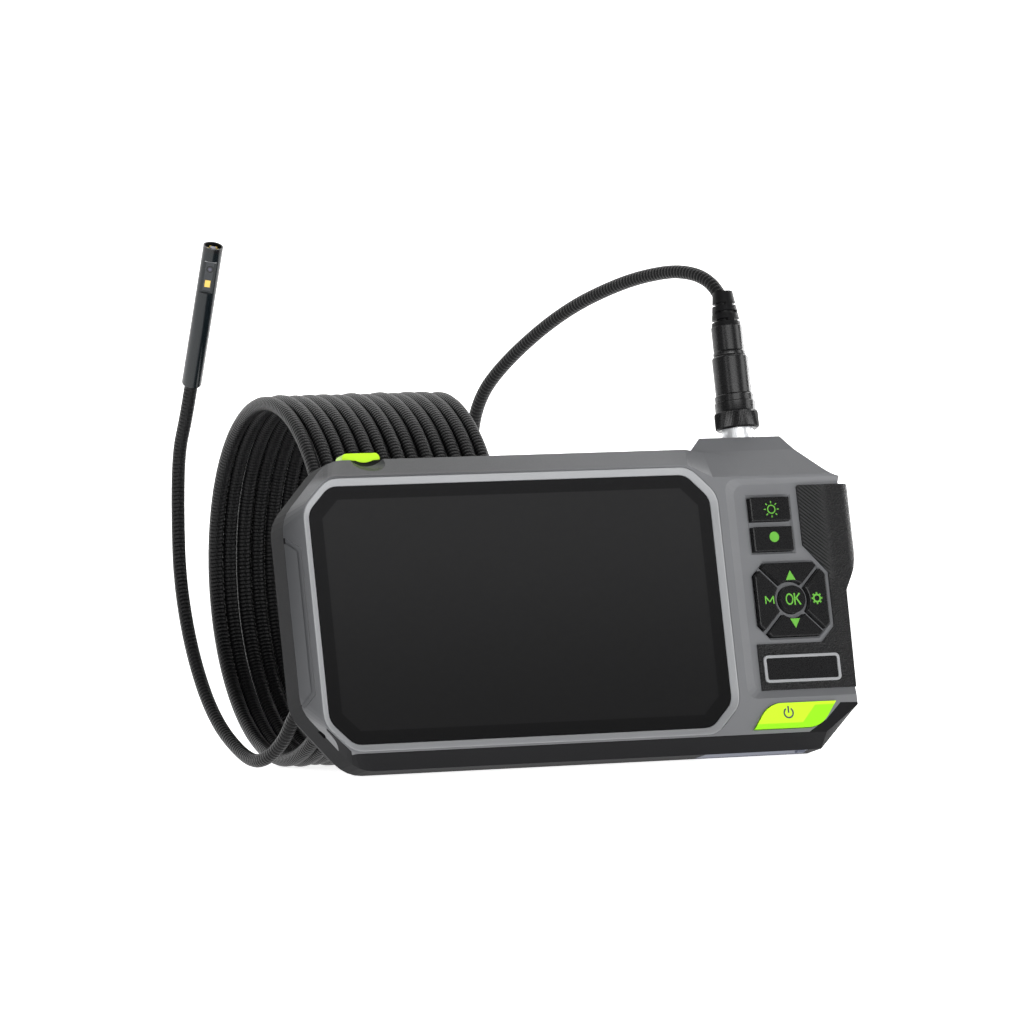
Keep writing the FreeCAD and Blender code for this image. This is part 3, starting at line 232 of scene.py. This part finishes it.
def grip_material():
    """Black rubber: slanting ribs beside the upper keys, pebbles everywhere else."""
    shader = Shader("grip_rubber", (0.014, 0.014, 0.015), 0.4, specular_ior_level=0.4)
    point = shader.handset_point()
    x, _, z = shader.split(point)
    slant = shader.math("ADD", shader.math("MULTIPLY", x, 0.62), shader.math("MULTIPLY", z, 0.78))
    rib = shader.math("ABSOLUTE", shader.math("SINE", shader.math("MULTIPLY", slant, math.pi / 0.85)))
    pebble = shader.ramp(shader.cells(point, 2.0), 0.0, 0.55, 1.0, 0.0)
    to_right = shader.ramp(x, 90.5, 94.5)
    upper = shader.ramp(z, 2.0, 7.0)
    ribbed = shader.math("MULTIPLY", upper, shader.math("SUBTRACT", 1.0, to_right))
    height = shader.math("ADD", shader.math("MULTIPLY", rib, ribbed),
                         shader.math("MULTIPLY", pebble, shader.math("SUBTRACT", 1.0, ribbed)))
    shader.bump(height, 0.28)
    # painted shade: the hollows between the ribs and pebbles are coloured darker and their tops lighter
    shader.colour(shader.mix(height, (0.002, 0.002, 0.0025), (0.007, 0.007, 0.0075)))
    return shader.material


def screen_material():
    """Black cover glass whose active area shows a little lighter, with its corners cut, and a painted
    reflection that lightens it towards the top.
    """
    shader = Shader("cover_glass", (0.01, 0.01, 0.01), 0.12, specular_ior_level=0.25)
    x, _, z_up = shader.split(shader.handset_point())
    x, z = shader.math("ABSOLUTE", x), shader.math("ABSOLUTE", z_up)
    inside = shader.math("MULTIPLY", shader.ramp(x, 55.2, 54.9), shader.ramp(z, 31.05, 30.75))
    inside = shader.math("MULTIPLY", inside, shader.ramp(shader.math("ADD", x, z), 81.3, 80.9))
    # painted reflection: the glass is coloured lighter towards the top
    height = shader.ramp(z_up, -32, 32)
    active = shader.mix(height, (0.012, 0.012, 0.0123), (0.021, 0.021, 0.0215))
    border = shader.mix(height, (0.008, 0.008, 0.0083), (0.0125, 0.0125, 0.013))
    shader.colour(shader.mix(inside, border, active))
    return shader.material


def lime_material():
    """Bright lime plastic with painted shade: a darker facet towards the lower right of the power key and a
    darker strip along its bottom.
    """
    shader = Shader("lime", (0.5, 0.95, 0.012), 0.3)
    x, _, z = shader.split(shader.handset_point())
    # painted shade: the facet towards the lower right and the bottom edge of the power key are coloured
    # darker
    slant = shader.math("SUBTRACT", x, shader.math("MULTIPLY", z, 0.9))
    facet = shader.math("MULTIPLY", shader.ramp(slant, 109.3, 109.7), shader.ramp(z, -29.6, -30.0))
    base = shader.math("MULTIPLY", shader.ramp(z, -34.2, -34.6), shader.ramp(z, 0.0, -1.0))
    shader.colour(shader.mix(shader.math("MAXIMUM", facet, base), (0.56, 0.95, 0.02), (0.3, 0.78, 0.006)))
    shader.bump(shader.noise(shader.handset_point(), 1.2, 2.0), 0.004)
    return shader.material


def knurled(name, colour, roughness, metallic):
    """Turned metal or plastic with fine rings from the lathe."""
    shader = Shader(name, colour, roughness, metallic)
    z = shader.split(shader.handset_point())[2]
    ring = shader.math("SINE", shader.math("MULTIPLY", z, math.pi / 0.16))
    shader.bump(ring, 0.004)
    return shader.material


GREY = shell_material()
DARK = moulded("shell_dark", (0.008, 0.008, 0.009), 0.6, specular_ior_level=0.1)
SILVER = moulded("bezel_silver", (0.29, 0.295, 0.305), 0.32, spread=0.05)
BLACK = moulded("key_black", (0.006, 0.006, 0.0065), 0.28, depth_mm=0.001, specular_ior_level=0.35)
LIME = lime_material()
SATIN = moulded("plug_black", (0.007, 0.007, 0.0075), 0.28, depth_mm=0.001, specular_ior_level=0.4)
RUBBER = moulded("relief_rubber", (0.004, 0.004, 0.0045), 0.45, specular_ior_level=0.2)
DOOR = moulded("door_rubber", (0.1, 0.11, 0.15), 0.5)
CHROME = knurled("chrome", (0.85, 0.86, 0.88), 0.35, 0.6)
PROBE_METAL = moulded("probe_metal", (0.005, 0.008, 0.01), 0.22, depth_mm=0.0005, specular_ior_level=0.5)
PROBE_BLACK = moulded("probe_black", (0.006, 0.006, 0.007), 0.25, depth_mm=0.0005)
WINDOW_GLASS = moulded("window_glass", (0.028, 0.032, 0.037), 0.3, depth_mm=0.0005)
GREEN = moulded("symbol_green", (0.115, 0.4, 0.035), 0.4)
SYMBOL_GREY = moulded("symbol_grey", (0.07, 0.065, 0.08), 0.4)
LED = moulded("led_yellow", (0.9, 0.62, 0.13), 0.35)
STEEL = knurled("steel", (0.45, 0.46, 0.48), 0.3, 1.0)
BRASS = knurled("brass", (0.6, 0.42, 0.16), 0.3, 1.0)
BOARD = moulded("circuit_board", (0.01, 0.1, 0.04), 0.35)
CELL = moulded("cell_wrap", (0.04, 0.08, 0.22), 0.35)
AMBER = moulded("ribbon_film", (0.35, 0.13, 0.02), 0.3)
ALLOY = moulded("frame_alloy", (0.42, 0.43, 0.44), 0.4, metallic=0.9)
LENS = Shader("lens", (0.05, 0.045, 0.09), 0.04, coat_weight=1.0).material

FINISHES = {
    GREY: ["front_shell"], DARK: ["rear_shell"], grip_material(): ["grip_rubber"],
    SILVER: ["screen_bezel", "label_frame"], screen_material(): ["screen_glass"],
    BLACK: ["light_key", "record_key", "up_key", "down_key", "menu_key", "settings_key", "ok_key",
            "label_plate", "lcd_panel", "key_switches", "top_key_switch", "key_membrane", "camera_module"],
    LIME: ["power_key", "top_key"], SATIN: ["coupling_nut", "plug_body", "plug_sleeve", "socket_insert",
                                            "plug_insert"],
    RUBBER: ["strain_relief"], DOOR: ["port_door"], CHROME: ["socket_shell", "socket_nut"],
    PROBE_BLACK: ["probe_front_ring"], WINDOW_GLASS: ["side_window"],
    LENS: ["front_lens", "side_lens"], LED: ["front_lights", "side_light"],
    STEEL: ["processor_shield", "usb_port", "card_slot", "case_screws", "door_pin"],
    BRASS: ["threaded_inserts", "socket_pins", "plug_contacts"],
    BOARD: ["key_board", "main_board", "port_board", "side_board", "front_board"],
    CELL: ["battery"], AMBER: ["display_ribbon"], ALLOY: ["display_frame"],
}
for finish, names in FINISHES.items():
    for name in names:
        for material_slot in NODES[name].material_slots:
            material_slot.material = finish

# ---------------------------------------------------------------- floor and backdrop


def stage_panel(name, corners, glow):
    """A plain pale panel of the studio, lit from within."""
    data = bpy.data.meshes.new(name)
    data.from_pydata(corners, [], [(0, 1, 2, 3)])
    panel = link(bpy.data.objects.new(name, data))
    shader = Shader(name, (0.9, 0.9, 0.9), 0.7)
    shader.surface.inputs["Emission Color"].default_value = (1, 1, 1, 1)
    shader.surface.inputs["Emission Strength"].default_value = glow
    data.materials.append(shader.material)


# metres; the backdrop stands behind the place of a camera that looks at the object's back
NEAR, FAR, WIDE, HIGH = -3, 6, 13, 10.7
stage_panel("floor", [(-WIDE, NEAR, 0), (WIDE, NEAR, 0), (WIDE, FAR, 0), (-WIDE, FAR, 0)], 0.85)
stage_panel("backdrop", [(-WIDE, FAR, 0), (WIDE, FAR, 0), (WIDE, FAR, HIGH), (-WIDE, FAR, HIGH)], 1.0)

# ---------------------------------------------------------------- softened edges on the CAD nodes


def soften(name, width_mm, segments=3, angle=25):
    """Rounds a CAD node's sharp edges a little, as moulded or machined pieces have."""
    weld = NODES[name].modifiers.new("weld", "WELD")
    weld.merge_threshold = 1e-6
    bevel = NODES[name].modifiers.new("bevel", "BEVEL")
    bevel.width = width_mm * MM
    bevel.segments = segments
    bevel.limit_method = "ANGLE"
    bevel.angle_limit = math.radians(angle)
    bevel.use_clamp_overlap = True
    bevel.harden_normals = False
    normals = NODES[name].modifiers.new("normals", "WEIGHTED_NORMAL")
    normals.keep_sharp = True


EDGES_MM = {"screen_bezel": 0.18, "label_frame": 0.15, "power_key": 0.3, "port_door": 0.2, "plug_body": 0.15,
            "plug_sleeve": 0.15, "light_key": 0.5, "record_key": 0.5, "up_key": 0.5, "down_key": 0.5,
            "menu_key": 0.5, "settings_key": 0.5, "ok_key": 0.4, "label_plate": 0.2}
for name, width in EDGES_MM.items():
    soften(name, width)

# ---------------------------------------------------------------- cable

# millimetres: over the braid on the free ends, and in the coil, whose turns press on one another
CABLE_RADIUS = 1.87
COIL_RADIUS = 2.03
COIL = {"start": Vector((-39.7, 82.0, 8.346)), "radius": 49.0, "pitch": 4.12,
        "yaw": math.radians(-3), "points_per_turn": 14}
LEAD_ROUTE = [(77, 28.3, 74.2), (77, 29.35, 80.15), (76.1, 31.6, 84.2), (74.8, 34.9, 87.2),
              (72.7, 40.2, 89.3), (69.4, 48.5, 90.1), (63, 64, 87.8), (54.5, 85, 80.6), (46.5, 106.6, 67.7),
              (42.4, 119, 56.5),
              (43.5, 127, 40.5), (34, 128, 25.5), (19, 120, 20), (7, 110, 28.5), (8, 99.5, 43.5),
              (12, 88, 56.5), (11, 69, 57.6)]
TAIL_ROUTE = [(-41.3, 33.5, -0.2), (-41.6, 39.3, -16.3), (-44.8, 50.7, -26.4), (-45.8, 57.6, -35),
              (-48, 68.1, -40.7), (-48.4, 80.7, -38.9), (-49.5, 97.6, -29.2), (-49.9, 110.7, -12.1),
              (-50, 118.1, 8.2), (-50, 118, 28.2), (-50.2, 115.3, 44.9), (-50, 109.4, 54.2),
              (-50, 103.9, 65.2)]


def coil_point(angle):
    """A point of the coil in the cable's frame. The angle grows from the bottom, to the front and over."""
    along = Vector((math.cos(COIL["yaw"]), math.sin(COIL["yaw"]), 0))
    back = Vector((-along.y, along.x, 0))
    # control points lie this much outside the curve that they draw
    radius = COIL["radius"] / math.cos(math.pi / COIL["points_per_turn"])
    radius -= 0.35 * (1 + math.sin(angle / 2.3)) / 2
    return (COIL["start"] + along * COIL["pitch"] * angle / math.tau
            - back * radius * math.sin(angle) - Vector((0, 0, radius * math.cos(angle))))


def coil_points():
    """The coil's turns from the lead's end to the tail's start."""
    step = math.tau / COIL["points_per_turn"]
    first, last = 25 * math.pi - math.radians(12), math.radians(80)
    count = round((first - last) / step)
    return [coil_point(first - (first - last) * k / count) for k in range(1, count)]


def spline_points(controls):
    """Points along the smooth line that the control points draw."""
    data = bpy.data.curves.new("route", "CURVE")
    data.dimensions = "3D"
    spline = data.splines.new("NURBS")
    spline.points.add(len(controls) - 1)
    for point, spot in zip(spline.points, controls):
        point.co = (*spot, 1)
    spline.order_u = 3
    spline.use_endpoint_u = True
    spline.resolution_u = 14
    holder = bpy.data.objects.new("route", data)
    mesh = bpy.data.meshes.new_from_object(holder)
    points = [vertex.co.copy() for vertex in mesh.vertices]
    bpy.data.objects.remove(holder)
    return points


def tube_mesh(name, points, radius_at, sides=14):
    """A round tube along points. Its UV gives millimetres along it and turns round it."""
    mesh = bmesh.new()
    uv = mesh.loops.layers.uv.new("along")
    neighbours = zip(points[:1] + points, points[1:] + points[-1:])
    tangents = [(after - before).normalized() for before, after in neighbours]
    side = tangents[0].orthogonal().normalized()
    travelled = [0.0]
    rings = []
    for k, (spot, tangent) in enumerate(zip(points, tangents)):
        side = (side - tangent * side.dot(tangent)).normalized()
        other = tangent.cross(side)
        radius = radius_at(k) * MM
        rings.append([mesh.verts.new(spot + radius * (side * math.cos(a) + other * math.sin(a)))
                      for a in (math.tau * j / sides for j in range(sides))])
        if k:
            travelled.append(travelled[-1] + (spot - points[k - 1]).length)
    for k in range(len(points) - 1):
        for j in range(sides):
            face = mesh.faces.new((rings[k][j], rings[k][(j + 1) % sides], rings[k + 1][(j + 1) % sides],
                                   rings[k + 1][j]))
            face.smooth = True
            for loop, (ring, turn) in zip(face.loops, ((k, j), (k, j + 1), (k + 1, j + 1), (k + 1, j))):
                loop[uv].uv = (travelled[ring] / MM, turn / sides)
    mesh.faces.new(rings[0][::-1])
    mesh.faces.new(rings[-1])
    mesh.normal_update()
    data = bpy.data.meshes.new(name)
    mesh.to_mesh(data)
    mesh.free()
    return link(bpy.data.objects.new(name, data)), travelled[-1]


controls = [Vector(spot) for spot in LEAD_ROUTE] + coil_points() + [Vector(spot) for spot in TAIL_ROUTE]
cable_line = spline_points([CABLE @ (spot * MM) for spot in controls])
per_control = len(cable_line) / len(controls)
coil_start, coil_end = len(LEAD_ROUTE) * per_control, len(cable_line) - len(TAIL_ROUTE) * per_control


def cable_radius(k):
    """The tube's radius at a point of its line, thicker in the coil."""
    into_coil = min(max(min(k - coil_start, coil_end - k) / 40, 0), 1)
    return CABLE_RADIUS + (COIL_RADIUS - CABLE_RADIUS) * into_coil


cable, cable_length = tube_mesh("cable", cable_line, cable_radius)
cable.data.materials.append(cable_material())
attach(cable, "handset")
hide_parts("cable_lead", "cable_coil", "cable_tail")
print(f"cable {cable_length:.3f} m")
# ---------------------------------------------------------------- symbols on the keys


def flat_piece(name, body, depth, outlines, finish, thick=0.06, axes=HANDSET):
    """Thin raised shapes on a face at depth. Outlines are lists of (x, z) in the axes, in millimetres."""
    mesh = bmesh.new()
    for outline in outlines:
        front = [mesh.verts.new(axes @ (Vector((x, depth - thick, z)) * MM)) for x, z in outline]
        back = [mesh.verts.new(axes @ (Vector((x, depth + thick, z)) * MM)) for x, z in outline]
        mesh.faces.new(front)
        mesh.faces.new(back[::-1])
        for k in range(len(outline)):
            after = (k + 1) % len(outline)
            mesh.faces.new((front[k], back[k], back[after], front[after]))
    bmesh.ops.recalc_face_normals(mesh, faces=mesh.faces)
    data = bpy.data.meshes.new(name)
    mesh.to_mesh(data)
    mesh.free()
    piece = link(bpy.data.objects.new(name, data))
    piece.data.materials.append(finish)
    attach(piece, body)
    return piece


def circle(x, z, radius, steps=32):
    return [(x + radius * math.cos(math.tau * k / steps), z + radius * math.sin(math.tau * k / steps))
            for k in range(steps)]


def arc_band(x, z, inner, outer, start, end, steps=28):
    """Quads of a band between two radii from one angle to another, in degrees from the right."""
    angles = [math.radians(start + (end - start) * k / steps) for k in range(steps + 1)]
    quads = [((inner, first), (outer, first), (outer, second), (inner, second))
             for first, second in zip(angles, angles[1:])]
    return [[(x + r * math.cos(a), z + r * math.sin(a)) for r, a in quad] for quad in quads]


def stroke(start, end, width):
    """A straight stroke as a rectangle."""
    (x1, z1), (x2, z2) = start, end
    length = math.dist(start, end)
    across = ((z1 - z2) / length * width / 2, (x2 - x1) / length * width / 2)
    return [(x1 + across[0], z1 + across[1]), (x1 - across[0], z1 - across[1]),
            (x2 - across[0], z2 - across[1]), (x2 + across[0], z2 + across[1])]


def polar(x, z, radius, degrees):
    return x + radius * math.cos(math.radians(degrees)), z + radius * math.sin(math.radians(degrees))


PAD_X, PAD_Z = 79.9, -0.7
KEY_FACE = -1.0
SUN = (76.4, 24.1)
sun = arc_band(*SUN, 0.95, 1.25, 0, 360)
sun += [stroke(polar(*SUN, 1.65, 45 * k), polar(*SUN, 2.25, 45 * k), 0.3) for k in range(8)]
flat_piece("light_symbol", "light_key", KEY_FACE, sun, GREEN)
flat_piece("record_symbol", "record_key", KEY_FACE, [circle(76.4, 16.5, 1.42)], GREEN)
up = [(PAD_X - 1.45, 4.6), (PAD_X + 1.45, 4.6), (PAD_X, 7.2)]
flat_piece("up_symbol", "up_key", KEY_FACE, [up], GREEN)
down = [(PAD_X - 1.45, -6.0), (PAD_X, -8.6), (PAD_X + 1.45, -6.0)]
flat_piece("down_symbol", "down_key", KEY_FACE, [down], GREEN)
GEAR = (87.2, PAD_Z)
gear = arc_band(*GEAR, 0.75, 1.2, 0, 360)
gear += [stroke(polar(*GEAR, 1.1, 45 * k), polar(*GEAR, 1.62, 45 * k), 0.5) for k in range(8)]
flat_piece("settings_symbol", "settings_key", KEY_FACE, gear, GREEN)
M_LEFT, M_RIGHT, M_LOW, M_TOP = 71.7, 74.1, PAD_Z - 1.05, PAD_Z + 1.05
flat_piece("menu_symbol", "menu_key", KEY_FACE, [
    stroke((M_LEFT, M_LOW), (M_LEFT, M_TOP), 0.34), stroke((M_RIGHT, M_LOW), (M_RIGHT, M_TOP), 0.34),
    stroke((M_LEFT, M_TOP), ((M_LEFT + M_RIGHT) / 2, PAD_Z - 0.55), 0.34),
    stroke((M_RIGHT, M_TOP), ((M_LEFT + M_RIGHT) / 2, PAD_Z - 0.55), 0.34)], GREEN)
O_MIDDLE = (PAD_X - 1.1, PAD_Z)
K_LEFT = PAD_X + 0.45
O_NARROW = 0.72
letters = [[(O_MIDDLE[0] + (x - O_MIDDLE[0]) * O_NARROW, z) for x, z in quad]
           for quad in arc_band(*O_MIDDLE, 1.15, 1.6, 0, 360)]
letters += [stroke((K_LEFT, PAD_Z - 1.6), (K_LEFT, PAD_Z + 1.6), 0.42),
            stroke((K_LEFT + 0.1, PAD_Z - 0.1), (K_LEFT + 1.6, PAD_Z + 1.55), 0.42),
            stroke((K_LEFT + 0.5, PAD_Z + 0.25), (K_LEFT + 1.7, PAD_Z - 1.6), 0.42)]
flat_piece("ok_symbol", "ok_key", KEY_FACE - 0.2, letters, GREEN)
POWER = (74.5, -31.7)
power = arc_band(*POWER, 1.1, 1.55, 122, 418) + [stroke(POWER, (POWER[0], POWER[1] + 1.9), 0.45)]
flat_piece("power_symbol", "power_key", -1.7, power, SYMBOL_GREY)

# ---------------------------------------------------------------- what shows in the probe's side window

WINDOW = -2.12
LENS_X, LENS_Z = 0.15, 35.8
WINDOW_PIECES = (
    ("window_light", 0.02, [[(-0.7, 30.5), (0.8, 30.5), (0.8, 32.5), (-0.7, 32.5)]], LED),
    ("window_lens", 0.02, [circle(LENS_X, LENS_Z, 0.42)], LENS),
    ("window_lens_rim", 0.01, arc_band(LENS_X, LENS_Z, 0.75, 1.0, 0, 360), PROBE_BLACK),
    ("window_edge", 0.02, [stroke((-1.6, 38.05), (1.6, 38.05), 0.28)], SILVER))
window_pieces = [flat_piece(name, "handset", WINDOW - lift, outlines, finish, axes=PROBE)
                 for name, lift, outlines, finish in WINDOW_PIECES]

# ---------------------------------------------------------------- coupling nut with its knurl


def turned_piece(name, body, profile, finish, axes, teeth=None, flat=None, segments=96):
    """A piece turned about the Z of its axes. The profile is (radius, height) points, in millimetres.

    teeth is (count, low, high, depth) of a knurl; flat is (low, high, y) of a flat cut across it.
    """
    mesh = bmesh.new()
    columns = []
    for k in range(segments):
        angle = math.tau * k / segments
        column = []
        for radius, height in profile:
            if teeth and teeth[1] < height < teeth[2] and radius > 5:
                radius -= teeth[3] * (0.5 + 0.5 * math.cos(teeth[0] * angle))
            across, deep = radius * math.cos(angle), radius * math.sin(angle)
            if flat and flat[0] <= height <= flat[1]:
                deep = max(deep, flat[2])
            column.append(mesh.verts.new(axes @ (Vector((across, deep, height)) * MM)))
        columns.append(column)
    for k in range(segments):
        here, after = columns[k], columns[(k + 1) % segments]
        for j in range(len(profile)):
            following = (j + 1) % len(profile)
            mesh.faces.new((here[j], after[j], after[following], here[following]))
    bmesh.ops.recalc_face_normals(mesh, faces=mesh.faces)
    for face in mesh.faces:
        face.smooth = True
    for edge in mesh.edges:
        edge.smooth = edge.calc_face_angle(0) < math.radians(28)
    data = bpy.data.meshes.new(name)
    mesh.to_mesh(data)
    mesh.free()
    piece = link(bpy.data.objects.new(name, data))
    piece.data.materials.append(finish)
    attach(piece, body)
    return piece


PLUG = HANDSET @ Matrix.Translation(Vector((77, 15, 0)) * MM)
NUT = [(4.3, 49.0), (5.4, 49.0), (5.95, 49.5), (6.0, 49.8), (6.0, 53.2), (5.9, 53.7), (5.6, 53.9),
       (5.55, 54.2), (5.55, 56.5), (5.3, 56.7), (5.3, 58.35), (5.1, 58.6), (3.65, 58.6),
       (3.65, 56.45), (4.3, 56.45)]
nut = turned_piece("knurled_nut", "coupling_nut", NUT, SATIN, PLUG, teeth=(84, 49.3, 53.5, 0.14),
                   segments=336)
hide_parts("coupling_nut")

BARREL = [(2.0, 0.02), (2.55, 0.02), (2.75, 0.45), (2.75, 28.7), (2.75, 28.72), (2.75, 29.3), (2.75, 38.2),
          (2.75, 38.22), (2.75, 40.85), (2.0, 40.85)]
barrel = turned_piece("probe_barrel", "handset", BARREL, PROBE_METAL, PROBE, flat=(28.72, 38.2, -2.06))
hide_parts("probe_housing")
